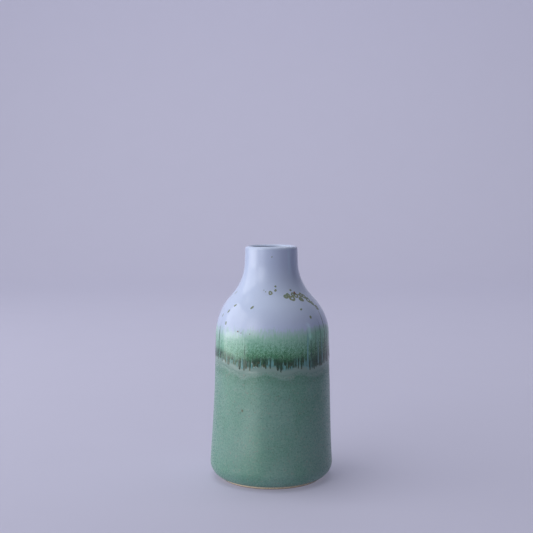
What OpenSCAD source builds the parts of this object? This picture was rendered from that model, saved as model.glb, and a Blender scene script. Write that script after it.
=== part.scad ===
// Ceramic bud vase: a thrown stoneware bottle and the coats of glaze fired onto it.
// Millimetres, +Z up. The foot ring stands on z = 0 and the pot is turned about the Z axis.
// The outside is one row of stations, each [radius, height, angle of the outward normal].
// Every wall and coat of glaze is drawn at a depth below those stations, so they nest exactly.

/* [Bottle] */
// Height from the foot ring to the top of the lip
height = 140; // [137:0.5:150]
// Outer radius of the belly, just above its rounded lower edge
belly_r = 37; // [36:0.1:38.5]
// Outer radius at the top of the wall, where the shoulder begins
wall_top_r = 34.2; // [33.6:0.1:35]
// Height of the top of the wall
wall_top_z = 87; // [82:0.5:89]
// Radius of the shoulder's curve
shoulder_curve = 33; // [31:0.5:35]
// Steepest lean of the shoulder towards the neck, in degrees
shoulder_lean = 41; // [38:0.5:43]
// Outer radius at the foot of the neck
neck_r = 16; // [15:0.1:17]
// Radius of the hollow curve between the shoulder and the neck
neck_curve = 30; // [26:0.5:33]
// Lean of the neck towards the lip, in degrees
neck_lean = 2; // [0.5:0.1:3]

/* [Foot] */
// Outer radius of the foot ring
foot_r = 30.4; // [29.5:0.1:30.6]
// Width of the foot ring where it stands
foot_w = 4; // [3:0.1:6]
// Radius of the rounded edge between the foot and the belly
edge_round = 9; // [8.5:0.1:10]
// Height of the turned recess inside the foot ring
recess_h = 2; // [1.5:0.1:2.5]
// Rounding on the foot ring's edges
foot_edge = 0.4; // [0.2:0.1:0.6]

/* [Wall] */
// Thickness of the wall, glaze included
wall_t = 3.6; // [3:0.1:4.2]
// Height of the inside floor
floor_z = 6; // [5:0.5:8]

/* [Glaze] */
// Thickness of each coat of glaze
coat_t = 0.5; // [0.3:0.1:0.7]
// How far the run band stands proud at its lower edge
run_roll = 0.15; // [0:0.05:0.3]
// Height on the wall where the run band ends in drips, as a share of the wall's curve
run_share = 0.79; // [0.7:0.01:0.85]
// Angle round the shoulder where the run band fades into the upper glaze, in degrees
run_fade = 20; // [10:1:28]
// Angle of the lower glaze's edge above the foot, in degrees below level
foot_line = 66; // [60:1:68]
// How far the glaze spots stand proud of the shoulder
spot_h = 0.2; // [0.1:0.05:0.3]
// Width of the bead round each glaze ring
ring_bead = 0.6; // [0.4:0.1:0.8]

/* [Hidden] */
$fn = 96;

// Colours of the fired materials
clay = "#d9c3a0";
liner = "#c9cbe0";
sea_green = "#5f8f7e";
dark_green = "#2f5f45";
pale_lilac = "#c3cbe6";
olive = "#6c7550";

// Points in each stretch of the outline
bare_steps = 3;
edge_steps = 14;
wall_steps = 16;
band_steps = 4;
curve_steps = 12;
lip_steps = 12;
bead_steps = 6;

// Lean of the outline where the bare clay leaves the foot ring, and where the rounded edge meets the wall
bare_start = -73;
edge_top = 3.5;
// Height of the rounded edge's centre above its own radius
edge_lift = 0.6;
// How far the wall's S-curve has drawn in, and risen, at its lower handle: shares of the whole wall
low_handle = [0.47, 0.37];
// How far the upper handle stands outside the top of the wall, and its height as a share of the wall's
high_handle_out = 0.4;
high_handle_rise = 0.67;
// Share of the wall's curve where the inside leaves it for the rounded floor
inside_start = 0.1;
// Slope of the recess's side, as a share of its depth, and the glaze's gap from that side
recess_slope = 0.6;
wash_gap = 0.5;
// Depth that a spot's flat underside is sunk below the curved shoulder
spot_sink = 0.04;

// Spots of olive glaze on the shoulder: [turn from the front in degrees, height, radius]
spots = [
    [6.5, 117.5, 0.7], [6.5, 115, 1], [-11, 115, 0.5], [-24, 106, 1.3], [-50, 106, 1.2], [-57, 102.5, 1],
    [-56, 96, 1], [36, 104.5, 1], [45, 100, 1.2], [32, 115, 0.8], [38, 114, 0.8], [43, 109.5, 1],
    [104, 103, 1.1], [131, 97.5, 0.9], [158, 112, 1], [188, 101, 1.2], [221, 107.5, 0.8], [249, 99, 1],
];
// Rings of olive glaze round burst bubbles, written in the same way
rings = [
    [-1.5, 114, 1.1], [23, 112, 1.2], [30, 110, 1.5], [37, 111.5, 1.3], [52, 111, 1.5],
    [58, 108, 1.3], [65, 104.5, 1.2], [117, 108, 1.3], [172, 104, 1.2], [234, 110, 1.3],
];

// ---- Stretches of the outline, from the foot to the lip ----

// An arc of stations; a negative radius puts the centre outside the pot, for a hollow curve
function arc(centre, radius, from, to, steps) = [
    for (i = [0 : steps])
        let (a = from + (to - from) * i / steps)
        [centre[0] + radius * cos(a), centre[1] + radius * sin(a), a]
];

// The wall is one gentle S-curve, a cubic Bezier between its two ends with two handles
edge_centre = [belly_r - edge_round, edge_round + edge_lift];
wall_start = edge_centre + edge_round * [cos(edge_top), sin(edge_top)];
wall_pull = [
    wall_start,
    [wall_start[0] - (belly_r - wall_top_r) * low_handle[0], wall_top_z * low_handle[1]],
    [wall_top_r + high_handle_out, wall_top_z * high_handle_rise],
    [wall_top_r, wall_top_z],
];
function wall_at(t) =
    pow(1 - t, 3) * wall_pull[0] + 3 * pow(1 - t, 2) * t * wall_pull[1]
    + 3 * (1 - t) * t * t * wall_pull[2] + pow(t, 3) * wall_pull[3];
function wall_run(t) =
    pow(1 - t, 2) * (wall_pull[1] - wall_pull[0]) + 2 * (1 - t) * t * (wall_pull[2] - wall_pull[1])
    + t * t * (wall_pull[3] - wall_pull[2]);
function wall_station(t) =
    let (p = wall_at(t), d = wall_run(t))
    [p[0], p[1], atan2(-d[0], d[1])];
function wall(from, to, steps) = [for (i = [0 : steps]) wall_station(from + (to - from) * i / steps)];

// Shoulder, the straight lean above it, and the hollow curve up to the neck
wall_lean = wall_station(1)[2];
shoulder_centre = [wall_top_r, wall_top_z] - shoulder_curve * [cos(wall_lean), sin(wall_lean)];
lean_start = shoulder_centre + shoulder_curve * [cos(shoulder_lean), sin(shoulder_lean)];
neck_in = neck_curve * (cos(neck_lean) - cos(shoulder_lean));
lean_length = (lean_start[0] - neck_r - neck_in) / sin(shoulder_lean);
lean_end = lean_start + lean_length * [-sin(shoulder_lean), cos(shoulder_lean)];
neck_centre = lean_end + neck_curve * [cos(shoulder_lean), sin(shoulder_lean)];
neck_foot_z = neck_centre[1] - neck_curve * sin(neck_lean);

// Lip: a round edge as thick as the neck's wall, from the leaning outside to the straight bore
bore_r = neck_r - wall_t * cos(neck_lean);
bore_z = neck_foot_z - wall_t * sin(neck_lean);
neck_rise = height - neck_foot_z;
lip_round = (neck_r - bore_r - neck_rise * tan(neck_lean))
    / (1 + cos(neck_lean) - tan(neck_lean) * (1 - sin(neck_lean)));
lip_centre = [bore_r + lip_round, height - lip_round];

// A stretch without its first station, to follow on from one that ends there
function after_first(run) = [for (i = [1 : len(run) - 1]) run[i]];

// The whole outside, in stretches that share their end stations
bare_edge = arc(edge_centre, edge_round, bare_start, -foot_line, bare_steps);
lower_run = concat(
    arc(edge_centre, edge_round, -foot_line, edge_top, edge_steps),
    after_first(wall(0, run_share, wall_steps))
);
band_run = concat(
    wall(run_share, 1, band_steps),
    after_first(arc(shoulder_centre, shoulder_curve, wall_lean, run_fade, band_steps))
);
upper_run = concat(
    arc(shoulder_centre, shoulder_curve, run_fade, shoulder_lean, curve_steps),
    arc(neck_centre, -neck_curve, shoulder_lean, neck_lean, curve_steps),
    arc(lip_centre, lip_round, neck_lean, 180, lip_steps)
);

// The point at a depth below a station
function below(s, depth) = [s[0] - depth * cos(s[2]), s[1] - depth * sin(s[2])];
// Points below a stretch; the depth may change evenly from its first station to its last
function skin(run, from, to) = [
    for (i = [0 : len(run) - 1]) below(run[i], from + (to - from) * i / (len(run) - 1))
];
function reversed(points) = [for (i = [len(points) - 1 : -1 : 0]) points[i]];

// ---- The inside: bore, hollow curve, shoulder and wall, down to a rounded floor ----

inner_run = concat(
    wall(inside_start, 1, wall_steps),
    after_first(arc(shoulder_centre, shoulder_curve, wall_lean, shoulder_lean, curve_steps)),
    arc(neck_centre, -neck_curve, shoulder_lean, neck_lean, curve_steps)
);
corner = inner_run[0];
corner_in = below(corner, wall_t);
floor_round = (corner_in[1] - floor_z) / (1 + sin(corner[2]));
floor_centre = corner_in - floor_round * [cos(corner[2]), sin(corner[2])];
// Points of the inside face at a depth below the outside, from the middle of the floor to the bore
function inside(depth) =
    let (grow = wall_t - depth)
    concat(
        [[0, floor_z - grow]],
        [for (s = arc(floor_centre, floor_round + grow, -90, corner[2], edge_steps)) [s[0], s[1]]],
        [for (i = [1 : len(inner_run) - 2]) below(inner_run[i], depth)],
        [[bore_r + grow, bore_z]]
    );

// A coat of glaze between two depths below a stretch of the outside
module coat(run, proud_from = 0, proud_to = 0) {
    rotate_extrude()
        polygon(concat(
            skin(run, -proud_from, -proud_to),
            reversed(skin(run, coat_t, coat_t))
        ));
}

// Moves its children to the outside face, turned so that +Z is the outward normal there
module on_outside(turn, z) {
    place = outside_at(z);
    rotate([0, 0, turn - 90])
        translate([place[0], 0, place[1]])
            rotate([0, 90 - place[2], 0])
                children();
}
// The station of the upper glaze nearest a height
function outside_at(z) =
    z < lean_start[1]
        ? let (a = asin((z - shoulder_centre[1]) / shoulder_curve))
            [shoulder_centre[0] + shoulder_curve * cos(a), z, a]
        : z < lean_end[1]
            ? [lean_start[0] - (z - lean_start[1]) * tan(shoulder_lean), z, shoulder_lean]
            : let (a = asin((neck_centre[1] - z) / neck_curve))
                [neck_centre[0] - neck_curve * cos(a), z, a];

// Inner radius of the foot ring where it stands, and radius of the recess's flat ceiling
ring_in = foot_r - foot_w;
recess_r = ring_in - recess_h * recess_slope;

// ---- Sub-parts ----

// Fired clay bottle: foot ring, wall, shoulder, neck and lip in one turned piece
module stoneware_body() {
    outside = concat(bare_edge, after_first(lower_run), after_first(band_run), after_first(upper_run));
    color(clay)
        rotate_extrude()
            polygon(concat(
                [[0, recess_h], [recess_r, recess_h], [ring_in, foot_edge]],
                [[ring_in + foot_edge, 0], [foot_r - foot_edge, 0], [foot_r, foot_edge]],
                skin(outside, coat_t, coat_t),
                reversed(inside(wall_t - coat_t))
            ));
}

// Glaze poured inside the bottle: floor, wall, and the straight bore of the neck
module liner_glaze() {
    color(liner)
        rotate_extrude()
            polygon(concat(
                inside(wall_t),
                [[bore_r, lip_centre[1]], [bore_r + coat_t, lip_centre[1]]],
                reversed(inside(wall_t - coat_t))
            ));
}

// Satin green glaze from the bare foot to the drips
module lower_glaze() {
    color(sea_green) coat(lower_run);
}

// Where the upper glaze overlapped the lower one and ran down in drips
module run_band() {
    color(dark_green) coat(band_run, run_roll, 0);
}

// Glossy lilac-white glaze over the shoulder and neck and round the lip
module upper_glaze() {
    color(pale_lilac) coat(upper_run);
}

// Glaze wiped over the recess inside the foot ring
module underside_glaze() {
    color(sea_green)
        translate([0, 0, recess_h - coat_t])
            cylinder(r = recess_r - wash_gap, h = coat_t);
}

// Olive spots and rings, low beads with a flat underside just sunk into the glossy glaze
module glaze_spots() {
    color(olive) {
        for (s = spots)
            on_outside(s[0], s[1])
                rotate_extrude()
                    polygon(concat([[0, -spot_sink]], bead(0, s[2], 90)));
        for (s = rings)
            on_outside(s[0], s[1])
                rotate_extrude()
                    polygon(bead(s[2], ring_bead / 2, 180));
    }
}
// Rounded section on a flat underside, from its outer edge round to 90 degrees (its top) or 180
function bead(middle, half_w, sweep) = [
    for (i = [0 : bead_steps])
        let (a = sweep * i / bead_steps)
        [middle + half_w * cos(a), (spot_h + spot_sink) * sin(a) - spot_sink]
];

stoneware_body();
liner_glaze();
lower_glaze();
run_band();
upper_glaze();
underside_glaze();
glaze_spots();
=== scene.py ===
"""Ceramic bud vase: a thrown stoneware bottle, glazed sea green below and lilac-white above.

Every coat is turned: its section is drawn as a chain of extruded points and spun round the
pot's axis. The glaze run, its drips and the spots are then shaped on the turned pieces.
The tables and functions are in millimetres, and Blender's pieces are in metres. Turns round
the pot are degrees from the front (-Y), positive towards the right (+X).
"""

import math
import random

import bpy
import numpy as np
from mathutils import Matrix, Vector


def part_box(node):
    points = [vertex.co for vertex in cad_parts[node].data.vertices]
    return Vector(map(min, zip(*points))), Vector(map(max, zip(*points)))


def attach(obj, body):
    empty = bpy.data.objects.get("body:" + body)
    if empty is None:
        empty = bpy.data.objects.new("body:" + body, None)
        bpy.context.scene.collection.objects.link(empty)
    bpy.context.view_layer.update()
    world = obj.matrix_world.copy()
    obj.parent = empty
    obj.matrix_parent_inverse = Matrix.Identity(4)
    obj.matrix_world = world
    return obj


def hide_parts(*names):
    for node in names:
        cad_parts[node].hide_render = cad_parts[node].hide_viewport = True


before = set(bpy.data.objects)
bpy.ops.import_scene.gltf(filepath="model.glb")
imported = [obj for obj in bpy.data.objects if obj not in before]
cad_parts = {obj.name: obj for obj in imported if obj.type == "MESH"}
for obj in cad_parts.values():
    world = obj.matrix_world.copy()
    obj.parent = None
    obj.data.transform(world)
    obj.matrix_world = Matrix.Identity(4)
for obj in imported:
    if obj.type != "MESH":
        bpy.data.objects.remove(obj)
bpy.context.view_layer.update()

MM = 0.001


# ---- Outline of the pot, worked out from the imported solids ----


def top_of(node):
    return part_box(node)[1].z / MM


HEIGHT = top_of("upper_glaze")
BELLY_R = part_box("lower_glaze")[1].x / MM
RUN_TOP = top_of("run_band")
COAT = 0.5
FLOOR_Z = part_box("liner_glaze")[0].z / MM + COAT
WALL = 3.6
WALL_TOP = (34.2, 87.0)
EDGE_ROUND = 9.0
EDGE_LIFT = 0.6
EDGE_TOP = 3.5
BARE_START = -73.0
FOOT_LINE = -58.0
LOW_HANDLE = (0.47, 0.37)
HIGH_HANDLE = (0.4, 0.67)
SHOULDER_CURVE = 33.0
SHOULDER_LEAN = 41.0
NECK_R = 16.0
NECK_CURVE = 30.0
NECK_LEAN = 2.0
FOOT_R = 30.4
FOOT_W = 4.0
FOOT_EDGE = 0.4
RECESS_H = 2.0
RECESS_SLOPE = 0.6
WASH_GAP = 0.5
INSIDE_START = 0.1


def cosd(angle):
    return math.cos(math.radians(angle))


def sind(angle):
    return math.sin(math.radians(angle))


def arc(centre, radius, start, end, steps):
    """Stations (radius, height, lean of the outward normal) along an arc of the outline."""
    turns = [start + (end - start) * i / steps for i in range(steps + 1)]
    return [(centre[0] + radius * cosd(a), centre[1] + radius * sind(a), a) for a in turns]


edge_centre = (BELLY_R - EDGE_ROUND, EDGE_ROUND + EDGE_LIFT)
wall_start = arc(edge_centre, EDGE_ROUND, EDGE_TOP, EDGE_TOP, 1)[0][:2]
wall_pull = (
    wall_start,
    (wall_start[0] - (BELLY_R - WALL_TOP[0]) * LOW_HANDLE[0], WALL_TOP[1] * LOW_HANDLE[1]),
    (WALL_TOP[0] + HIGH_HANDLE[0], WALL_TOP[1] * HIGH_HANDLE[1]),
    WALL_TOP,
)


def wall_station(t):
    """One station of the wall, a gentle S-curve drawn as a cubic Bezier."""
    s = 1 - t
    low, low_pull, high_pull, high = wall_pull
    place = [
        s**3 * low[k] + 3 * s * s * t * low_pull[k] + 3 * s * t * t * high_pull[k] + t**3 * high[k]
        for k in (0, 1)
    ]
    run = [
        s * s * (low_pull[k] - low[k])
        + 2 * s * t * (high_pull[k] - low_pull[k])
        + t * t * (high[k] - high_pull[k])
        for k in (0, 1)
    ]
    return (place[0], place[1], math.degrees(math.atan2(-run[0], run[1])))


def wall(start, end, steps):
    return [wall_station(start + (end - start) * i / steps) for i in range(steps + 1)]


wall_lean = wall_station(1)[2]
shoulder_centre = (
    WALL_TOP[0] - SHOULDER_CURVE * cosd(wall_lean),
    WALL_TOP[1] - SHOULDER_CURVE * sind(wall_lean),
)
lean_start = arc(shoulder_centre, SHOULDER_CURVE, SHOULDER_LEAN, SHOULDER_LEAN, 1)[0]
neck_in = NECK_CURVE * (cosd(NECK_LEAN) - cosd(SHOULDER_LEAN))
lean_length = (lean_start[0] - NECK_R - neck_in) / sind(SHOULDER_LEAN)
neck_centre = (
    lean_start[0] - lean_length * sind(SHOULDER_LEAN) + NECK_CURVE * cosd(SHOULDER_LEAN),
    lean_start[1] + lean_length * cosd(SHOULDER_LEAN) + NECK_CURVE * sind(SHOULDER_LEAN),
)
neck_foot_z = neck_centre[1] - NECK_CURVE * sind(NECK_LEAN)
neck_draw = math.tan(math.radians(NECK_LEAN))
bore_r = NECK_R - WALL * cosd(NECK_LEAN)
lip_round = (NECK_R - bore_r - (HEIGHT - neck_foot_z) * neck_draw) / (
    1 + cosd(NECK_LEAN) - neck_draw * (1 - sind(NECK_LEAN))
)
lip_centre = (bore_r + lip_round, HEIGHT - lip_round)


def shoulder(start, steps):
    return arc(shoulder_centre, SHOULDER_CURVE, start, SHOULDER_LEAN, steps)


def neck(steps):
    return arc(neck_centre, -NECK_CURVE, SHOULDER_LEAN, NECK_LEAN, steps)


lip = arc(lip_centre, lip_round, NECK_LEAN, 180, 30)
edge = arc(edge_centre, EDGE_ROUND, FOOT_LINE, EDGE_TOP, 32)
outline = edge + wall(0, 1, 140)[1:] + shoulder(wall_lean, 60)[1:] + neck(60) + lip[:1]
OUTLINE_R, OUTLINE_Z, OUTLINE_LEAN = (np.array([s[k] for s in outline]) for k in range(3))
OUTLINE_RUN = np.concatenate([[0], np.cumsum(np.hypot(np.diff(OUTLINE_R), np.diff(OUTLINE_Z)))])


def outside_at(z):
    """(radius, lean) of the outside face at a height, or at each of an array of heights."""
    return np.interp(z, OUTLINE_Z, OUTLINE_R), np.interp(z, OUTLINE_Z, OUTLINE_LEAN)


def below(station, depth):
    return (station[0] - depth * cosd(station[2]), station[1] - depth * sind(station[2]))


def skin(stations, depth):
    """The points of a section at a depth below a row of stations."""
    return [below(s, depth) for s in stations]


def inside(depth, steps):
    """Points of the inside face at a depth below the outside, from the floor's middle to the bore."""
    grow = WALL - depth
    start = wall_station(INSIDE_START)
    corner = below(start, WALL)
    rounding = (corner[1] - FLOOR_Z) / (1 + sind(start[2]))
    centre = (corner[0] - rounding * cosd(start[2]), corner[1] - rounding * sind(start[2]))
    floor = [(0, FLOOR_Z - grow), (centre[0] / 2, FLOOR_Z - grow)]
    corner_run = [s[:2] for s in arc(centre, rounding + grow, -90, start[2], steps)]
    up = wall(INSIDE_START, 1, steps * 2)[1:] + shoulder(wall_lean, steps)[1:] + neck(steps)[:-1]
    return floor + corner_run + skin(up, depth) + [(bore_r + grow, neck_foot_z)]


# ---- Turning, and working on a turned piece point by point ----

WELD = 0.002


def edit(piece):
    bpy.context.view_layer.objects.active = piece
    bpy.ops.object.mode_set(mode="EDIT")
    bpy.ops.mesh.select_mode(type="VERT")
    bpy.ops.mesh.select_all(action="SELECT")


def turned(name, section, steps, sectors):
    """A closed section, drawn as a chain of extruded points and spun round the pot's axis.

    It is spun through one sector first, and that sector is then spun on as copies.
    """
    bpy.ops.object.select_all(action="DESELECT")
    bpy.ops.mesh.primitive_plane_add(size=MM, location=(section[0][0] * MM, 0, section[0][1] * MM))
    piece = bpy.context.object
    piece.name = piece.data.name = name
    bpy.ops.object.transform_apply(location=True, rotation=True, scale=True)
    edit(piece)
    bpy.ops.mesh.merge(type="CENTER")
    for here, there in zip(section, section[1:] + section[:1]):
        step = ((there[0] - here[0]) * MM, 0, (there[1] - here[1]) * MM)
        bpy.ops.mesh.extrude_vertices_move(TRANSFORM_OT_translate={"value": step})
    bpy.ops.mesh.select_all(action="SELECT")
    bpy.ops.mesh.remove_doubles(threshold=WELD * MM)
    bpy.ops.mesh.select_all(action="SELECT")
    sector = 2 * math.pi / sectors
    bpy.ops.mesh.spin(steps=steps // sectors, angle=sector, center=(0, 0, 0), axis=(0, 0, 1))
    bpy.ops.mesh.select_all(action="SELECT")
    bpy.ops.mesh.spin(
        steps=sectors - 1, dupli=True, angle=sector * (sectors - 1), center=(0, 0, 0), axis=(0, 0, 1)
    )
    bpy.ops.mesh.select_all(action="SELECT")
    bpy.ops.mesh.remove_doubles(threshold=WELD * MM)
    bpy.ops.mesh.delete_loose()
    bpy.ops.mesh.select_all(action="SELECT")
    bpy.ops.mesh.normals_make_consistent(inside=False)
    bpy.ops.object.mode_set(mode="OBJECT")
    return piece


def read_points(piece):
    """The piece's points as an array, in millimetres."""
    flat = np.zeros(len(piece.data.vertices) * 3)
    piece.data.vertices.foreach_get("co", flat)
    return flat.reshape(-1, 3) / MM


def write_points(piece, points):
    piece.data.vertices.foreach_set("co", (points * MM).ravel())
    piece.data.update()


def read_rings(piece):
    """(turn from the front in degrees, radius, height) of each point."""
    points = read_points(piece)
    turn = np.degrees(np.arctan2(points[:, 0], -points[:, 1]))
    return turn, np.hypot(points[:, 0], points[:, 1]), points[:, 2]


def write_rings(piece, turn, radius, z):
    a = np.radians(turn)
    write_points(piece, np.stack([radius * np.sin(a), -radius * np.cos(a), z], axis=1))


def add_layer(piece, name, values):
    layer = piece.data.attributes.new(name, "FLOAT", "POINT")
    layer.data.foreach_set("value", values.astype(np.float32))


def smoothstep(low, high, x):
    t = np.clip((x - low) / (high - low), 0, 1)
    return t * t * (3 - 2 * t)


def turn_gap(turn, centre):
    """Degrees between each turn and a centre, the short way round."""
    return np.abs((turn - centre + 180) % 360 - 180)


RIPPLE = 0.008
RIPPLE_PITCH = 3.1
OVAL = 0.07
LEAN_OUT = 0.6


def throw(piece):
    """The small unevenness of a thrown pot, the same on every piece so that they still nest."""
    turn, radius, z = read_rings(piece)
    ripple = RIPPLE * np.sin(2 * math.pi * z / RIPPLE_PITCH + 0.6 * np.sin(np.radians(turn)))
    oval = OVAL * np.cos(np.radians(2 * turn + 50))
    belly = smoothstep(4, 30, z) * (1 - smoothstep(96, 116, z))
    write_rings(piece, turn, radius + (ripple + oval) * belly * np.minimum(1, radius / 10), z)
    points = read_points(piece)
    points[:, 0] += LEAN_OUT * smoothstep(10, 60, z) * (1 - smoothstep(94, 112, z))
    write_points(piece, points)


def finish_piece(piece, node, material):
    """Throws the piece, smooths it, and puts it in the place of its CAD node."""
    throw(piece)
    bpy.ops.object.select_all(action="DESELECT")
    piece.select_set(True)
    bpy.context.view_layer.objects.active = piece
    bpy.ops.object.shade_smooth_by_angle(angle=math.radians(40))
    piece.data.materials.clear()
    piece.data.materials.append(material)
    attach(piece, "root")
    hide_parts(node)


# ---- The glaze run: its margin, drips, rivulets and veins, round the pot ----

# Height of the run's lower margin at turns round the pot, in shallow arches
MARGIN = [
    (-180, 70.4), (-158, 68.6), (-140, 71.0), (-118, 69.4), (-95, 72.0), (-75, 71.6), (-58, 71.4),
    (-44, 69.6), (-31, 67.9), (-20, 68.2), (-8, 69.6), (2, 69.4), (10, 67.5), (17, 67.7), (25, 69.3),
    (33, 68.6), (40, 67.4), (53, 68.3), (66, 69.6), (88, 71.0), (104, 68.2), (126, 70.9), (150, 69.2),
    (180, 70.4),
]
# Long pale rivulets: (turn, half width in degrees, top, foot)
RIVULETS = [
    (36.4, 0.9, 94.5, 69.2), (50.5, 0.6, 91, 72), (57.5, 0.7, 90, 72), (-30.5, 0.7, 80, 70.5),
    (-96, 1.0, 94, 71), (-131, 0.7, 90, 71), (112, 0.8, 92, 71), (141, 1.1, 95, 70.5), (167, 0.7, 90, 71),
]
# Long dark veins above the drips: (turn, half width in degrees, top, foot)
VEINS = [
    (64.5, 1.3, 107, 80), (55.5, 0.8, 100, 72), (47.5, 0.7, 97, 73), (41.5, 0.7, 94, 74),
    (40, 0.5, 92, 76), (70, 1.1, 101, 74), (-66, 1.6, 98, 78), (-27.5, 0.6, 92, 74), (-104, 1.2, 102, 76),
    (-146, 1.0, 97, 75), (98, 1.2, 99, 75), (122, 0.9, 103, 76), (155, 1.3, 98, 77), (176, 0.8, 95, 75),
]
# Where the run is heavier, and its colours start higher: (turn, half width in degrees, rise)
HEAVY = [(64, 32, 4.5), (-52, 34, -2.5), (125, 30, 5.0), (-150, 25, 3.0)]


def margin_at(turn):
    """Height of the run's margin, a smooth curve through the places above."""
    places = np.array([m[0] for m in MARGIN], float)
    heights = np.array([m[1] for m in MARGIN], float)
    i = np.clip(np.searchsorted(places, turn, side="right") - 1, 0, len(places) - 2)
    t = smoothstep(places[i], places[i + 1], turn)
    return heights[i] + (heights[i + 1] - heights[i]) * t


def make_drips(count, rng):
    """Drips of dark glaze: (turn, half width in degrees, height of the tip, darkness)."""
    drips = []
    for i in range(count):
        turn = -180 + 360 * (i + rng.uniform(0.05, 0.95)) / count
        half_w = rng.choice([0.6, 0.8, 1.1, 1.5, 2.1]) * rng.uniform(0.85, 1.15)
        tip = float(margin_at(turn)) + rng.choice([2.0, 2.5, 3.1, 4.0, 5.6]) * rng.uniform(0.85, 1.15)
        drips.append((turn, half_w, tip, rng.uniform(0.6, 1.0)))
    return drips


DRIPS = make_drips(132, random.Random(11))


def drip_layers(turn, z):
    """How far each point is under a drip, and how near a drip's foot, both from 0 to 1."""
    cover = np.zeros_like(turn)
    foot = np.zeros_like(turn)
    for centre, half_w, tip, dark in DRIPS:
        wander = 0.25 * half_w * math.sin(centre * 3) * np.sin(z / 2.3 + centre)
        off = turn_gap(turn, centre + wander)
        up = np.clip((z - tip) / (half_w * 1.1), 0, 1)
        width = half_w * np.sqrt(1 - (1 - up) ** 2) * (0.8 + 0.5 * smoothstep(tip + 1.5, tip + 7, z))
        under = smoothstep(-0.3, 0.3, width - off) * (up > 0)
        cover = np.maximum(cover, under * dark)
        foot = np.maximum(foot, under * (1 - smoothstep(tip + 0.7, tip + 2.4, z)))
    return cover, foot


def streak_layer(turn, z, streaks, fade):
    """How far each point is inside a row of long thin streaks, soft at both ends."""
    found = np.zeros_like(turn)
    for centre, half_w, top, foot in streaks:
        off = turn_gap(turn, centre + 0.25 * np.sin(z / 4.1 + centre))
        across = 1 - smoothstep(half_w * 0.4, half_w * 1.25, off)
        along = smoothstep(foot, foot + 1.5, z) * (1 - smoothstep(top - fade, top, z))
        found = np.maximum(found, across * along)
    return found


def run_layers(turn, z):
    """Every layer that colours and shapes the run, at turns and heights on the glaze."""
    above = z - margin_at(turn)
    cover, foot = drip_layers(turn, z)
    rise = np.zeros_like(turn)
    for centre, half_w, most in HEAVY:
        rise = rise + most * (1 - smoothstep(half_w * 0.3, half_w, turn_gap(turn, centre)))
    return {
        "above": above,
        "drip": cover * (1 - smoothstep(7, 12, above)),
        "foot": foot,
        "rivulet": streak_layer(turn, z, RIVULETS, 8),
        "vein": streak_layer(turn, z, VEINS, 12),
        "rise": rise,
    }


RUN_THICK = 0.03


def run_proud(layers, z):
    """How far the run stands proud of the nominal face."""
    above = layers["above"]
    thick = RUN_THICK + 0.1 * (1 - smoothstep(1.5, 14, above))
    thick = thick + 0.11 * layers["drip"] + 0.08 * layers["rivulet"] * (1 - smoothstep(10, 20, above))
    roll = np.sqrt(1 - (1 - np.clip(above / 2.6, 0, 1)) ** 2)
    return thick * roll * (1 - smoothstep(RUN_TOP - 8, RUN_TOP, z))


# ---- Materials ----


def rgb(red, green, blue):
    """A colour given as screen values from 0 to 255."""
    linear = [((v / 255 + 0.055) / 1.055) ** 2.4 for v in (red, green, blue)]
    return (*linear, 1.0)


LILAC = rgb(198, 211, 240)
PALE_MINT = rgb(162, 206, 190)
LEAF = rgb(116, 176, 146)
BOTTLE = rgb(44, 84, 60)
INK_GREEN = rgb(26, 52, 38)
AMBER = rgb(92, 82, 50)
TEAL = rgb(122, 180, 184)
FILM = rgb(134, 162, 152)
SATIN = rgb(116, 150, 138)
OLIVE = rgb(128, 146, 132)
DARK_OLIVE = rgb(98, 114, 100)
RUST = rgb(122, 92, 80)
BROWN = rgb(92, 86, 56)
CREAM = rgb(252, 238, 206)
BOTTOM_BROWN = rgb(132, 92, 64)


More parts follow.
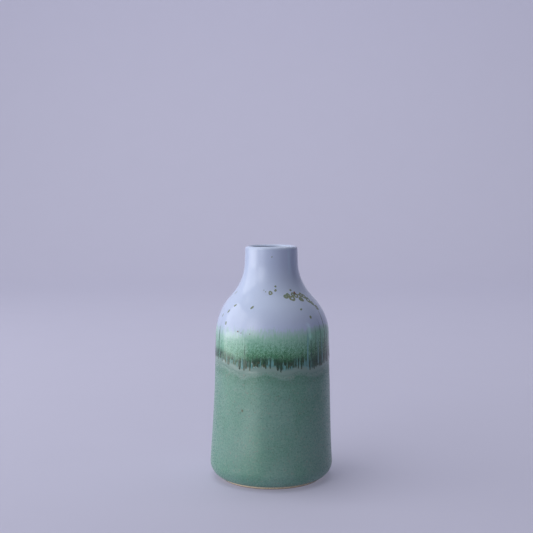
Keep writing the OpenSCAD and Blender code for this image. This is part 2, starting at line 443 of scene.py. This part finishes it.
class Nodes:
    """Short calls for building one node tree."""

    def __init__(self, tree):
        self.tree = tree

    def add(self, kind, **values):
        node = self.tree.nodes.new(kind)
        for name, value in values.items():
            setattr(node, name, value)
        return node

    def fill(self, socket, value):
        if isinstance(value, bpy.types.NodeSocket):
            self.tree.links.new(value, socket)
        else:
            socket.default_value = value

    def math(self, operation, a, b=0.0):
        node = self.add("ShaderNodeMath", operation=operation)
        self.fill(node.inputs[0], a)
        self.fill(node.inputs[1], b)
        return node.outputs[0]

    def times(self, *values):
        result = values[0]
        for value in values[1:]:
            result = self.math("MULTIPLY", result, value)
        return result

    def swing(self, value, amount):
        """A noise from 0 to 1 turned into one that swings evenly about zero."""
        return self.times(self.math("SUBTRACT", value, 0.5), amount)

    def plus(self, a, b):
        return self.math("ADD", a, b)

    def ramp(self, value, low, high, to_low=0.0, to_high=1.0):
        """value from low..high mapped smoothly onto to_low..to_high, and held at both ends."""
        node = self.add("ShaderNodeMapRange", interpolation_type="SMOOTHSTEP")
        names = ("Value", "From Min", "From Max", "To Min", "To Max")
        for name, given in zip(names, (value, low, high, to_low, to_high)):
            self.fill(node.inputs[name], given)
        return node.outputs["Result"]

    def mix(self, factor, a, b):
        node = self.add("ShaderNodeMix", data_type="RGBA")
        colour_in = [s for s in node.inputs if s.type == "RGBA"]
        self.fill(node.inputs[0], factor)
        self.fill(colour_in[0], a)
        self.fill(colour_in[1], b)
        return [s for s in node.outputs if s.type == "RGBA"][0]

    def place(self, across, up):
        """Object coordinates in millimetres, scaled across and up the pot."""
        coords = self.add("ShaderNodeTexCoord")
        mapping = self.add("ShaderNodeMapping")
        self.fill(mapping.inputs["Vector"], coords.outputs["Object"])
        mapping.inputs["Scale"].default_value = (across / MM, across / MM, up / MM)
        return mapping.outputs["Vector"]

    def height_mm(self):
        coords = self.add("ShaderNodeTexCoord")
        split = self.add("ShaderNodeSeparateXYZ")
        self.fill(split.inputs[0], coords.outputs["Object"])
        return self.times(split.outputs["Z"], 1 / MM)

    def noise(self, vector, detail=2.0, rough=0.5, distort=0.0, scale=1.0):
        node = self.add("ShaderNodeTexNoise")
        self.fill(node.inputs["Vector"], vector)
        self.fill(node.inputs["Scale"], scale)
        node.inputs["Detail"].default_value = detail
        node.inputs["Roughness"].default_value = rough
        node.inputs["Distortion"].default_value = distort
        return node.outputs[0]

    def layer(self, name):
        return self.add("ShaderNodeAttribute", attribute_name=name).outputs["Fac"]

    def bump(self, height, strength, distance_mm):
        node = self.add("ShaderNodeBump")
        self.fill(node.inputs["Height"], height)
        node.inputs["Strength"].default_value = strength
        node.inputs["Distance"].default_value = distance_mm * MM
        return node.outputs["Normal"]


def speckle_group():
    """The fine grain of every glaze and clay: light and dark specks of one size over a colour."""
    tree = bpy.data.node_groups.new("speckle", "ShaderNodeTree")
    for name in ("Color", "Light", "Dark"):
        tree.interface.new_socket(name, in_out="INPUT", socket_type="NodeSocketColor")
    for name in ("Fineness", "Light Amount", "Dark Amount"):
        tree.interface.new_socket(name, in_out="INPUT", socket_type="NodeSocketFloat")
    tree.interface.new_socket("Color", in_out="OUTPUT", socket_type="NodeSocketColor")
    tree.interface.new_socket("Grain", in_out="OUTPUT", socket_type="NodeSocketFloat")
    n = Nodes(tree)
    given = n.add("NodeGroupInput")
    result = n.add("NodeGroupOutput")
    grain = n.noise(n.place(1, 1), 3.0, 0.6, 0.4, scale=given.outputs["Fineness"])
    crumbs = n.noise(n.place(1.31, 1.17), 2.0, 0.5, 0.0, scale=given.outputs["Fineness"])
    light = n.times(n.ramp(grain, 0.52, 0.66), given.outputs["Light Amount"])
    dark = n.times(n.ramp(crumbs, 0.47, 0.34), given.outputs["Dark Amount"])
    colour = n.mix(light, given.outputs["Color"], given.outputs["Light"])
    colour = n.mix(dark, colour, given.outputs["Dark"])
    n.fill(result.inputs["Color"], colour)
    n.fill(result.inputs["Grain"], grain)
    return tree


SPECKLE = speckle_group()


def speckled(n, colour, light, dark, fineness, light_amount, dark_amount):
    """The speckle group placed in a material; returns its colour and its grain."""
    group = n.add("ShaderNodeGroup", node_tree=SPECKLE)
    for name, value in zip(
        ("Color", "Light", "Dark", "Fineness", "Light Amount", "Dark Amount"),
        (colour, light, dark, fineness, light_amount, dark_amount),
    ):
        n.fill(group.inputs[name], value)
    return group.outputs["Color"], group.outputs["Grain"]


def new_material(name):
    material = bpy.data.materials.new(name)
    material.use_nodes = True
    tree = material.node_tree
    tree.nodes.clear()
    n = Nodes(tree)
    shader = n.add("ShaderNodeBsdfPrincipled")
    output = n.add("ShaderNodeOutputMaterial")
    n.fill(output.inputs["Surface"], shader.outputs["BSDF"])
    return material, n, shader.inputs


def colour_by_height(n, height, stops):
    """A colour that changes with height, through stops of (height, colour)."""
    low, high = stops[0][0], stops[-1][0]
    node = n.add("ShaderNodeValToRGB")
    n.fill(node.inputs["Fac"], n.times(n.math("SUBTRACT", height, low), 1 / (high - low)))
    band = node.color_ramp
    band.interpolation = "EASE"
    for i, (z, colour) in enumerate(stops):
        if i == 0:
            stop = band.elements[0]
        elif i == len(stops) - 1:
            stop = band.elements[-1]
        else:
            stop = band.elements.new((z - low) / (high - low))
        stop.color = colour
    return node.outputs["Color"]


# The run's colours, as (height, colour) from the drips up to the plain lilac
RUN_COLOURS = [
    (71.5, BOTTLE), (76, rgb(56, 102, 70)), (79.5, rgb(84, 146, 108)), (83.2, LEAF),
    (87, rgb(142, 196, 172)), (89.5, PALE_MINT), (91.5, rgb(178, 210, 210)), (95, LILAC),
]


def running_glaze():
    """The glossy glaze: lilac, breaking through mint and leaf green to dark drips on a pale film."""
    material, n, shader = new_material("running_glaze")
    z = n.height_mm()
    streak = n.noise(n.place(0.8, 0.05), 3.0, 0.6)
    fine_streak = n.noise(n.place(1.9, 0.13), 2.0, 0.5)
    mottle = n.noise(n.place(0.85, 0.7), 4.0, 0.65, 0.6)
    worm = n.noise(n.place(1.25, 0.95), 2.0, 0.6, 1.8)
    flow = n.math("SUBTRACT", z, n.times(n.layer("rise"), n.ramp(z, 98.0, 86.0)))
    flow = n.plus(flow, n.swing(streak, 6.0))
    flow = n.plus(flow, n.swing(fine_streak, 6.0))
    mottled = n.ramp(z, 93.0, 84.0, 0.0, 15.0)
    flow = n.plus(flow, n.times(n.swing(mottle, 1.0), mottled))
    colour = colour_by_height(n, flow, RUN_COLOURS)
    crystal = n.times(n.ramp(worm, 0.5, 0.6), n.ramp(z, 92.0, 87.0), n.ramp(z, 75.0, 81.0, 0.2, 1.0))
    colour = n.mix(n.times(crystal, 0.6), colour, rgb(158, 204, 182))
    shadow = n.times(n.ramp(worm, 0.47, 0.38), n.ramp(z, 90.0, 84.0))
    colour = n.mix(n.times(shadow, 0.45), colour, BOTTLE)
    vein = n.times(n.layer("vein"), n.ramp(fine_streak, 0.3, 0.5), 0.75)
    colour = n.mix(vein, colour, rgb(48, 86, 72))
    above = n.layer("above")
    drip = n.layer("drip")
    gap = n.math("SUBTRACT", 1.0, drip)
    light = n.ramp(n.layer("rise"), 5.0, 0.0, 0.25, 1.0)
    reach = n.ramp(n.plus(above, n.swing(streak, 6.0)), 10.0, 5.5)
    thread = n.times(gap, reach, n.ramp(fine_streak, 0.46, 0.56), light)
    colour = n.mix(n.times(thread, 0.7), colour, TEAL)
    film = n.times(gap, n.ramp(n.plus(above, n.swing(fine_streak, 3.0)), 4.4, 2.4))
    colour = n.mix(film, colour, FILM)
    colour = n.mix(n.ramp(above, 1.0, 0.1), colour, SATIN)
    dark = n.mix(n.ramp(mottle, 0.42, 0.6), INK_GREEN, BOTTLE)
    colour = n.mix(n.times(drip, n.ramp(above, 11.0, 6.0)), colour, dark)
    amber = n.times(n.layer("foot"), n.ramp(mottle, 0.46, 0.56), 0.6)
    colour = n.mix(amber, colour, AMBER)
    colour = n.mix(n.times(n.layer("rivulet"), 0.85), colour, TEAL)
    n.fill(shader["Base Color"], colour)
    gloss = n.ramp(worm, 0.35, 0.65, 0.07, 0.13)
    n.fill(shader["Roughness"], n.plus(gloss, n.ramp(above, 1.4, 0.2, 0.0, 0.28)))
    peel = n.noise(n.place(0.45, 0.4), 2.0, 0.5)
    n.fill(shader["Normal"], n.bump(n.plus(peel, n.times(worm, 0.15)), 0.12, 0.3))
    return material


def satin_glaze():
    """The satin lower glaze: sea green, finely speckled, paler just under the run."""
    material, n, shader = new_material("satin_sea_green")
    cloud = n.noise(n.place(0.05, 0.035), 3.0, 0.55)
    blotch = n.noise(n.place(0.32, 0.28), 3.0, 0.6)
    rose = n.noise(n.place(0.9, 0.85), 2.0, 0.5)
    base = n.mix(n.ramp(cloud, 0.35, 0.65), rgb(109, 157, 139), rgb(122, 163, 150))
    base = n.mix(n.times(n.ramp(blotch, 0.5, 0.68), 0.35), base, rgb(134, 166, 156))
    arch = n.times(n.layer("arch"), 0.5)
    base = n.mix(arch, base, rgb(84, 132, 112))
    base = n.mix(n.times(n.layer("halo"), 0.75), base, rgb(134, 162, 153))
    base = n.mix(n.times(n.layer("pool"), 0.55), base, rgb(74, 118, 98))
    colour, grain = speckled(n, base, rgb(150, 180, 168), rgb(70, 112, 96), 1.15, 0.42, 0.5)
    colour = n.mix(n.times(n.ramp(rose, 0.6, 0.72), 0.45), colour, rgb(152, 138, 132))
    colour = n.mix(n.layer("fleck"), colour, BROWN)
    n.fill(shader["Base Color"], colour)
    n.fill(shader["Roughness"], n.ramp(grain, 0.35, 0.65, 0.24, 0.36))
    n.fill(shader["Specular IOR Level"], 0.38)
    n.fill(shader["Normal"], n.bump(grain, 0.2, 0.14))
    return material


def bare_clay():
    """Bare stoneware: cream where the glaze stops, brown along its lowest edge where it stands."""
    material, n, shader = new_material("bare_stoneware")
    grit = n.noise(n.place(1.1, 1.1), 3.0, 0.6)
    # brown over the lowest half millimetre of the foot, fading up into the cream
    bottom_brown = n.ramp(n.plus(n.height_mm(), n.swing(grit, 0.3)), 0.5, 0.25)
    base = n.mix(bottom_brown, CREAM, BOTTOM_BROWN)
    colour, grain = speckled(n, base, rgb(236, 220, 190), rgb(92, 60, 40), 1.6, 0.4, 0.35)
    n.fill(shader["Base Color"], colour)
    n.fill(shader["Roughness"], n.ramp(grain, 0.3, 0.7, 0.75, 0.92))
    n.fill(shader["Normal"], n.bump(grain, 0.5, 0.2))
    return material


def spot_glaze():
    """Olive spots that melt into the lilac at their edges, a few of them rust brown."""
    material, n, shader = new_material("olive_spots")
    patch = n.noise(n.place(0.3, 0.3), 2.0, 0.5)
    body = n.mix(n.ramp(patch, 0.4, 0.6), OLIVE, rgb(140, 148, 128))
    body = n.mix(n.layer("rust"), body, RUST)
    body, grain = speckled(n, body, rgb(166, 176, 144), DARK_OLIVE, 1.6, 0.4, 0.8)
    colour = n.mix(n.ramp(n.plus(n.layer("lift"), n.swing(patch, 0.1)), 0.05, 0.85), LILAC, body)
    n.fill(shader["Base Color"], colour)
    n.fill(shader["Roughness"], n.ramp(grain, 0.35, 0.65, 0.16, 0.34))
    n.fill(shader["Normal"], n.bump(grain, 0.2, 0.1))
    return material


def liner_gloss():
    """The lilac glaze poured inside, a little thinner and warmer."""
    material, n, shader = new_material("poured_liner")
    cloud = n.noise(n.place(0.08, 0.05), 3.0, 0.5)
    base = n.mix(n.ramp(cloud, 0.35, 0.65), rgb(182, 188, 214), rgb(196, 204, 226))
    colour, grain = speckled(n, base, rgb(210, 216, 232), rgb(140, 146, 150), 0.9, 0.3, 0.25)
    n.fill(shader["Base Color"], colour)
    n.fill(shader["Roughness"], n.ramp(grain, 0.35, 0.65, 0.1, 0.18))
    n.fill(shader["Normal"], n.bump(cloud, 0.2, 0.5))
    return material


RUNNING = running_glaze()
SEA_GREEN = satin_glaze()


# ---- Pieces ----


def stoneware_body():
    """The clay bottle under its glaze, with a turned foot ring and recess."""
    ring_in = FOOT_R - FOOT_W
    under = [(0, RECESS_H), (ring_in - RECESS_H * RECESS_SLOPE, RECESS_H), (ring_in, FOOT_EDGE)]
    foot = [(ring_in + FOOT_EDGE * 0.3, FOOT_EDGE * 0.3), (ring_in + FOOT_EDGE, 0), (FOOT_R - FOOT_EDGE, 0)]
    foot += [(FOOT_R - FOOT_EDGE * 0.3, FOOT_EDGE * 0.3), (FOOT_R, FOOT_EDGE)]
    up = arc(edge_centre, EDGE_ROUND, BARE_START, EDGE_TOP, 24) + wall(0, 1, 40)[1:]
    up += shoulder(wall_lean, 16)[1:] + neck(16) + lip[::2]
    return turned("clay_bottle", under + foot + skin(up, COAT) + inside(WALL - COAT, 12)[::-1], 240, 16)


def liner():
    """The glaze inside, from the floor up to the lip."""
    rim = [(bore_r, lip_centre[1]), (bore_r + COAT, lip_centre[1])]
    return turned("liner_coat", inside(WALL, 24) + rim + inside(WALL - COAT, 12)[::-1], 240, 16)


LOWER_TOP_SHARE = 0.97
LOWER_SUNK = 0.2
POOL_Z = 1.9
# Brown flecks in the satin glaze: (turn, height, size)
FLECKS = [(-29.6, 46.5, 0.55), (84, 33, 0.5), (-121, 57, 0.6), (163, 24, 0.5), (212, 49, 0.4)]


def lower_coat():
    """The satin glaze from the bare foot up under the run, where it lies a little lower."""
    stations = edge + wall(0, LOWER_TOP_SHARE, 130)[1:]
    section = skin(stations, 0) + skin(stations[::5] + stations[-1:], COAT)[::-1]
    piece = turned("sea_green_coat", section, 360, 24)
    turn, radius, z = read_rings(piece)
    outer = radius > outside_at(z)[0] - COAT / 2
    gap = margin_at(turn) - z
    sunk = LOWER_SUNK * smoothstep(-0.3, -1.6, gap) * outer
    roll = 0.12 * np.exp(-(((z - POOL_Z) / 0.7) ** 2)) * outer * (z < 5)
    write_rings(piece, turn, radius - sunk + roll, z)
    wave = 1.6 + 0.7 * np.sin(np.radians(turn * 9)) + 0.4 * np.sin(np.radians(turn * 23 + 40))
    add_layer(piece, "halo", smoothstep(wave + 1.2, wave - 0.4, gap) * (gap > -3))
    add_layer(piece, "arch", smoothstep(wave - 0.2, wave + 1.2, gap) * (1 - smoothstep(3, 9, gap)))
    add_layer(piece, "pool", 1 - smoothstep(2.0, 3.6, z))
    fleck = np.zeros_like(z)
    for place, height, size in FLECKS:
        off = np.hypot(np.radians(turn_gap(turn, place)) * radius, (z - height) * 0.7)
        fleck = np.maximum(fleck, smoothstep(size * 1.3, size * 0.6, off))
    add_layer(piece, "fleck", fleck * 0.9)
    return piece


RUN_ROWS = 96
RUN_START = 60.0


def run_coat():
    """The run: a coat whose margin, drips and rivulets are shaped point by point."""
    heights = [RUN_START + (RUN_TOP - RUN_START) * i / RUN_ROWS for i in range(RUN_ROWS + 1)]
    outer_face = [(float(outside_at(z)[0]), z) for z in heights]
    inner_face = [(r - COAT, z) for r, z in outer_face[:: RUN_ROWS // 8][::-1]]
    piece = turned("glaze_run", outer_face + inner_face, 720, 40)
    turn, radius, z = read_rings(piece)
    outer = radius > outside_at(z)[0] - COAT / 2
    margin = margin_at(turn)
    z = margin + (RUN_TOP - margin) * (z - RUN_START) / (RUN_TOP - RUN_START)
    layers = run_layers(turn, z)
    face, lean = outside_at(z)
    back = np.minimum(COAT, LOWER_SUNK + 0.02 * np.maximum(layers["above"], 0) ** 1.5)
    depth = np.where(outer, -run_proud(layers, z), back)
    tilt = np.radians(lean)
    write_rings(piece, turn, face - depth * np.cos(tilt), z - depth * np.sin(tilt))
    for name, values in layers.items():
        add_layer(piece, name, values)
    return piece


def upper_coat():
    """The lilac glaze over the shoulder, neck and lip, down to the run."""
    lean_at_run = math.degrees(math.asin((RUN_TOP - shoulder_centre[1]) / SHOULDER_CURVE))
    rise = lip_centre[1] - neck_foot_z
    ups = [rise * i / 5 for i in range(1, 5)]
    straight = [(NECK_R - up * neck_draw, neck_foot_z + up, NECK_LEAN) for up in ups]
    stations = shoulder(lean_at_run, 40) + neck(56) + straight + lip
    section = skin(stations, 0) + skin(stations[::4] + stations[-1:], COAT)[::-1]
    piece = turned("lilac_coat", section, 480, 32)
    turn, radius, z = read_rings(piece)
    for name, values in run_layers(turn, z).items():
        add_layer(piece, name, values)
    return piece


def underside_coat():
    """A thin wash of glaze in the recess, with a wiped edge."""
    out = FOOT_R - FOOT_W - RECESS_H * RECESS_SLOPE - WASH_GAP
    low = RECESS_H - COAT
    section = [(out * i / 12, low) for i in range(12)]
    section += [(out - 0.3, low + 0.03), (out, low + 0.3), (out, RECESS_H), (0, RECESS_H)]
    piece = turned("underside_wash", section, 180, 12)
    for name in ("halo", "arch", "pool", "fleck"):
        add_layer(piece, name, np.zeros(len(piece.data.vertices)))
    return piece


# ---- Spots and rings, laid out on a flat sheet and then wrapped onto the shoulder ----

SHEET_R = 30.0
SHEET_RISE = 4.0
SPOT_RISE = 0.1
RING_RISE = 0.08
VOXEL = 0.13
# Spots: (turn, height, half length, half width, tilt of the length from level)
SPOTS = [
    (6.8, 117.4, 0.75, 0.65, 10), (6.4, 115.2, 0.9, 0.85, 0), (-12.4, 115.3, 0.4, 0.3, 20),
    (-9.4, 114.4, 0.42, 0.38, 0), (-23.9, 105.8, 1.45, 0.75, 52), (-50.1, 106.1, 1.25, 0.8, 32),
    (-57.4, 102.5, 1.35, 0.75, 52), (-67.3, 99.7, 1.2, 0.55, 80), (-55.8, 95.8, 1.3, 0.8, 88),
    (-66.5, 92.6, 0.6, 0.4, 80), (35.9, 104.5, 0.85, 0.75, 30), (45.1, 99.8, 1.05, 0.95, 60),
    (32.4, 115.0, 0.8, 0.75, 0), (38.0, 113.5, 1.1, 0.7, 80), (44.5, 109.3, 0.95, 0.7, 20),
    (-22.6, 91.2, 0.45, 0.4, 0), (-36.3, 92.1, 0.6, 0.5, 0), (-32.4, 91.4, 0.35, 0.3, 0),
    (0.9, 134.4, 0.4, 0.4, 0), (-70.5, 112.6, 1.6, 0.4, 60), (26.5, 111.6, 0.6, 0.45, 0),
    (63.5, 105.4, 1.2, 0.55, -40), (44, 112.2, 2.2, 0.5, 0), (104, 103, 1.1, 0.9, 15),
    (131, 97.5, 0.9, 0.7, 60), (158, 112, 1.0, 0.8, 30), (161.5, 110, 0.5, 0.45, 0), (188, 101, 1.2, 0.8, 70),
    (221, 107.5, 0.8, 0.7, 0), (249, 99, 1.0, 0.8, 45), (241, 112, 0.6, 0.5, 0), (176, 116.5, 0.5, 0.45, 0),
]
# Rings round burst bubbles: (turn, height, radius, half thickness)
RINGS = [
    (-1.6, 113.8, 0.85, 0.55), (21.8, 111.8, 0.9, 0.9), (25.4, 112.4, 0.85, 0.6), (30.2, 110.6, 1.3, 0.8),
    (33.6, 112.7, 0.8, 0.6), (38.6, 111.9, 1.1, 0.6), (44.6, 109.8, 1.0, 0.85), (49.0, 112.0, 1.0, 0.7),
    (53.6, 111.0, 1.1, 0.7), (57.6, 108.8, 1.3, 0.8), (61.6, 106.8, 0.8, 0.8), (66.4, 104.2, 1.0, 0.7),
    (117, 108, 1.2, 0.7), (123.5, 107, 1.0, 0.6), (172, 104, 1.1, 0.7), (234, 110, 1.2, 0.7),
    (229, 108.4, 0.9, 0.6),
]
# Spots that fired rust brown: (turn, height)
RUST_SPOTS = [(38.2, 113.9), (-36.3, 92.1), (-32.4, 91.4), (221, 107.5)]


def on_sheet(turn, z):
    """Where a turn and a height lie on the flat sheet, and how much wider things are drawn there."""
    widen = SHEET_R / float(outside_at(z)[0])
    return math.radians(turn) * SHEET_R, float(np.interp(z, OUTLINE_Z, OUTLINE_RUN)), widen


def uneven(points, centre, rng):
    """Points pushed in and out round a centre, so that no two shapes are alike."""
    a = np.arctan2(points[:, 1] - centre[1], points[:, 0] - centre[0])
    grow = 1 + rng.uniform(0.04, 0.12) * np.sin(2 * a + rng.uniform(0, 6))
    grow += rng.uniform(0.03, 0.1) * np.sin(3 * a + rng.uniform(0, 6))
    points[:, :2] = np.array(centre) + (points[:, :2] - np.array(centre)) * grow[:, None]
    return points


def lay_on_sheet(piece, turn, z, length, width, rise, tilt, rng):
    """Scales, turns and wobbles a piece of unit size, and lays it in its place on the sheet."""
    x, y, widen = on_sheet(turn, z)
    points = uneven(read_points(piece), (0.0, 0.0), rng) * np.array([length, width, rise * SHEET_RISE])
    flat = points[:, :2] @ np.array([[cosd(tilt), sind(tilt)], [-sind(tilt), cosd(tilt)]])
    write_points(piece, np.column_stack([x + flat[:, 0] * widen, y + flat[:, 1], points[:, 2]]))


def glaze_spots():
    """All the spots and rings, melted into one skin on the sheet and wrapped onto the pot."""
    rng = random.Random(5)
    parts = []
    for turn, z, length, width, tilt in SPOTS:
        bpy.ops.mesh.primitive_uv_sphere_add(segments=20, ring_count=12, radius=MM)
        parts.append(bpy.context.object)
        lay_on_sheet(parts[-1], turn, z, length, width, SPOT_RISE, tilt, rng)
    for turn, z, radius, half_thick in RINGS:
        bpy.ops.mesh.primitive_torus_add(
            major_segments=32, minor_segments=12, major_radius=radius * MM, minor_radius=half_thick * MM
        )
        parts.append(bpy.context.object)
        lay_on_sheet(parts[-1], turn, z, 1, 1, RING_RISE / half_thick, 0, rng)
    bpy.ops.object.select_all(action="DESELECT")
    for part in parts:
        part.select_set(True)
    bpy.ops.object.join()
    piece = bpy.context.object
    piece.name = piece.data.name = "olive_spots"
    remesh = piece.modifiers.new("melt", "REMESH")
    remesh.mode = "VOXEL"
    remesh.voxel_size = VOXEL * MM
    bpy.ops.object.modifier_apply(modifier="melt")
    smooth = piece.modifiers.new("soften", "SMOOTH")
    smooth.iterations = 2
    bpy.ops.object.modifier_apply(modifier="soften")
    points = read_points(piece)
    turn = np.degrees(points[:, 0] / SHEET_R)
    rows = (OUTLINE_R, OUTLINE_Z, OUTLINE_LEAN)
    radius, z, lean = (np.interp(points[:, 1], OUTLINE_RUN, row) for row in rows)
    lift = points[:, 2] / SHEET_RISE
    ground = np.where(z < RUN_TOP, run_proud(run_layers(turn, z), z), 0)
    tilt = np.radians(lean)
    write_rings(piece, turn, radius + (lift + ground) * np.cos(tilt), z + (lift + ground) * np.sin(tilt))
    add_layer(piece, "lift", np.clip(lift / RING_RISE, 0, 1))
    rust = np.zeros_like(z)
    for place, height in RUST_SPOTS:
        off = np.hypot(np.radians(turn_gap(turn, place)) * radius, z - height)
        rust = np.maximum(rust, smoothstep(1.6, 1.0, off))
    add_layer(piece, "rust", rust)
    return piece


finish_piece(stoneware_body(), "stoneware_body", bare_clay())
finish_piece(liner(), "liner_glaze", liner_gloss())
finish_piece(lower_coat(), "lower_glaze", SEA_GREEN)
finish_piece(run_coat(), "run_band", RUNNING)
finish_piece(upper_coat(), "upper_glaze", RUNNING)
finish_piece(underside_coat(), "underside_glaze", SEA_GREEN)
finish_piece(glaze_spots(), "glaze_spots", spot_glaze())


# ---- Stage, lights and camera ----

PAPER_W = 6.0
PAPER_FRONT = -1.6
PAPER_BACK = 1.1
SWEEP_CURVE = 0.6
SWEEP_STEPS = 20
SWEEP_UP = 2.2
# Painted light: the paper is given a faint glow of its own, with no lamp behind it, so that the pot's shadow
# on it stays soft
PAPER_PAINTED_GLOW = 0.32


def paper_sweep():
    """A sheet of pale paper that lies under the pot and curves up behind it."""
    bpy.ops.object.select_all(action="DESELECT")
    bpy.ops.mesh.primitive_plane_add(size=1, location=(0, (PAPER_FRONT + PAPER_BACK) / 2, 0))
    paper = bpy.context.object
    paper.name = "paper_sweep"
    bpy.ops.transform.resize(value=(PAPER_W, PAPER_BACK - PAPER_FRONT, 1.0))
    bpy.ops.object.transform_apply(location=True, rotation=False, scale=True)
    bpy.ops.object.mode_set(mode="EDIT")
    bpy.ops.mesh.select_all(action="DESELECT")
    bpy.ops.object.mode_set(mode="OBJECT")
    for line in paper.data.edges:
        line.select = min(paper.data.vertices[i].co.y for i in line.vertices) > PAPER_BACK - 0.01
    bpy.ops.object.mode_set(mode="EDIT")
    bpy.ops.mesh.select_mode(type="EDGE")
    step = SWEEP_CURVE * math.radians(90 / SWEEP_STEPS)
    for i in range(SWEEP_STEPS):
        a = 90 * (i + 0.5) / SWEEP_STEPS
        bpy.ops.mesh.extrude_edges_move(TRANSFORM_OT_translate={"value": (0, step * cosd(a), step * sind(a))})
    bpy.ops.mesh.extrude_edges_move(TRANSFORM_OT_translate={"value": (0, 0, SWEEP_UP)})
    bpy.ops.object.mode_set(mode="OBJECT")
    bpy.ops.object.shade_smooth()
    material, n, shader = new_material("paper")
    fibre = n.noise(n.place(0.02, 0.02), 2.0, 0.5)
    n.fill(shader["Base Color"], n.mix(fibre, rgb(162, 161, 181), rgb(164, 163, 183)))
    # painted light: the paper glows in its own pale colour, which lifts its shade and the pot's shadow
    n.fill(shader["Emission Color"], rgb(175, 176, 200))
    n.fill(shader["Emission Strength"], PAPER_PAINTED_GLOW)
    n.fill(shader["Roughness"], 0.8)
    paper.data.materials.append(material)


def softbox(name, place, aim, size, power, colour):
    """A rectangular soft light at a place, turned to face a point."""
    bpy.ops.object.light_add(type="AREA", location=place)
    lamp = bpy.context.object
    lamp.name = name
    lamp.data.shape = "RECTANGLE"
    lamp.data.size, lamp.data.size_y = size
    lamp.data.energy = power
    lamp.data.color = colour
    to = [a - p for a, p in zip(aim, place)]
    tilt = math.atan2(math.hypot(to[0], to[1]), -to[2])
    lamp.rotation_euler = (tilt, 0, math.atan2(to[1], to[0]) - math.pi / 2)
    return lamp


def shine(name, place, aim, size, power, colour):
    """A light that only shows as a reflection, like a card held just out of view."""
    softbox(name, place, aim, size, power, colour).visible_diffuse = False


def wash(name, place, aim, size, power, colour):
    """A light that brightens the pot and the paper, and shows in no reflection."""
    softbox(name, place, aim, size, power, colour).visible_glossy = False


def toward(turn, rise, distance, centre_z):
    """A place seen from the pot at a turn from the front and a rise above level, in degrees."""
    across = distance * cosd(rise)
    return (across * sind(turn), -across * cosd(turn), centre_z + distance * sind(rise))


WINDOW_TURN = -46
WINDOW_RISE = 18
WINDOW_TIGHT = 32
WINDOW_LIGHT = 3.6
PALE_ROOM = (0.46, 0.46, 0.61, 1)


def window_light():
    """A room lit by one wide soft window, to the front left; the camera sees a plain pale room."""
    world = bpy.data.worlds.new("studio")
    bpy.context.scene.world = world
    world.use_nodes = True
    world.node_tree.nodes.clear()
    n = Nodes(world.node_tree)
    coords = n.add("ShaderNodeTexCoord")
    facing = n.add("ShaderNodeVectorMath", operation="DOT_PRODUCT")
    n.fill(facing.inputs[0], coords.outputs["Generated"])
    facing.inputs[1].default_value = toward(WINDOW_TURN, WINDOW_RISE, 1, 0)
    near = n.plus(n.times(facing.outputs["Value"], 0.5), 0.5)
    glow = n.times(n.math("POWER", near, WINDOW_TIGHT), WINDOW_LIGHT)
    lit = n.add("ShaderNodeBackground")
    n.fill(lit.inputs["Strength"], glow)
    seen = n.add("ShaderNodeBackground")
    seen.inputs["Color"].default_value = PALE_ROOM
    either = n.add("ShaderNodeMixShader")
    n.fill(either.inputs[0], n.add("ShaderNodeLightPath").outputs["Is Camera Ray"])
    n.fill(either.inputs[1], lit.outputs[0])
    n.fill(either.inputs[2], seen.outputs[0])
    n.fill(n.add("ShaderNodeOutputWorld").inputs["Surface"], either.outputs[0])


WHITE = (1, 1, 1)
COOL = (0.45, 0.85, 1)
paper_sweep()
window_light()
softbox("key_left", toward(-92, 16, 0.95, 0.07), (0, 0, 0.07), (0.85, 0.9), 4.2, WHITE)
shine("slit_right", toward(80, 0, 0.8, 0.17), (0, 0, 0.13), (0.07, 0.42), 0.15, COOL)
shine("low_card_left", toward(-80, 0, 0.65, 0.1), (0, 0, 2.0), (0.5, 0.6), 1.7, WHITE)
shine("low_card_front", toward(-38, 0, 0.24, 0.003), (0, 0, 9.0), (0.11, 0.3), 0.32, WHITE)
wash("overhead_left", (-0.5, -0.2, 2.0), (0, 0.1, 0), (1.8, 1.8), 16.0, WHITE)
softbox("overhead_back", (-0.5, 0.7, 1.8), (0, 0.3, 0), (1.6, 1.0), 3.5, WHITE)
softbox("backdrop_light", (0, 0.35, 1.5), (0, 1.6, 0.35), (2.0, 0.5), 7.5, WHITE)

CAMERA_PLACE = (-0.0029, -0.590, 0.176)
CAMERA_TILT = 4.7
CAMERA_LENS = 66.53
CAMERA_SENSOR = 36
bpy.ops.object.camera_add(location=CAMERA_PLACE, rotation=(math.radians(90 - CAMERA_TILT), 0, 0))
camera = bpy.context.object
camera.data.lens = CAMERA_LENS
camera.data.sensor_width = CAMERA_SENSOR
bpy.context.scene.camera = camera
bpy.context.scene.view_settings.view_transform = "Standard"
